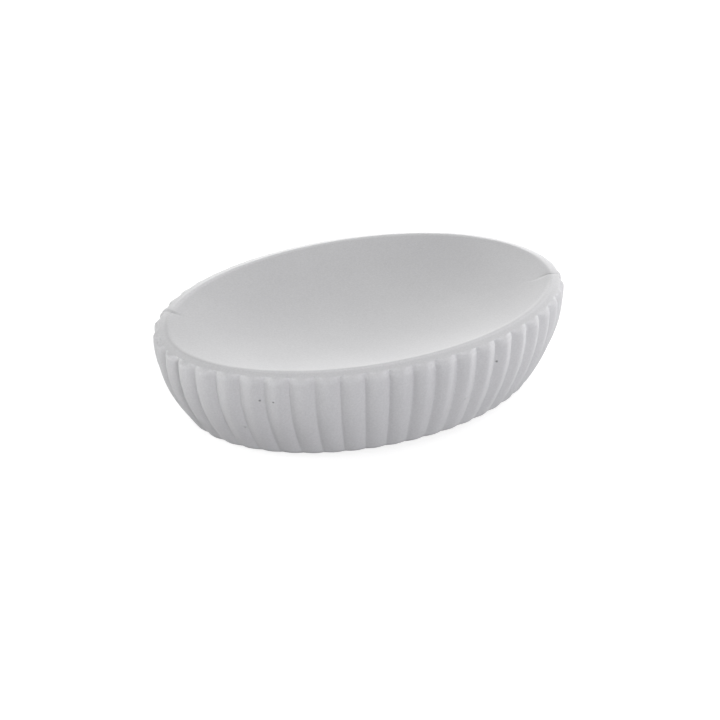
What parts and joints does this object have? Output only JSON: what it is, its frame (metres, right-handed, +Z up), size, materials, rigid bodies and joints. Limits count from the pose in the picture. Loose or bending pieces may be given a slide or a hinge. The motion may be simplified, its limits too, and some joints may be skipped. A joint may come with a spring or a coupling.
{
  "type": "soap dish",
  "caption": "Oval soap dish with ribbed sides, a plain rounded rim and a shallow smooth hollow for a bar of soap, on soft stick-on feet.",
  "frame": {"origin": "middle of the footprint, on the surface that the feet stand on", "axes": "+X along the dish, +Y across it towards the rear, +Z up"},
  "size_m": [0.1524, 0.104, 0.0351],
  "materials": {
    "cast_stone": "matte",
    "adhesive": "matte",
    "foot_rubber": "matte"
  },
  "bodies": {
    "root": {"dish_body": "cast_stone", "adhesive_disc_front_left": "adhesive", "adhesive_disc_front_right": "adhesive", "adhesive_disc_rear_left": "adhesive", "adhesive_disc_rear_right": "adhesive", "foot_pad_front_left": "foot_rubber", "foot_pad_front_right": "foot_rubber", "foot_pad_rear_left": "foot_rubber", "foot_pad_rear_right": "foot_rubber"}
  },
  "joints": []
}
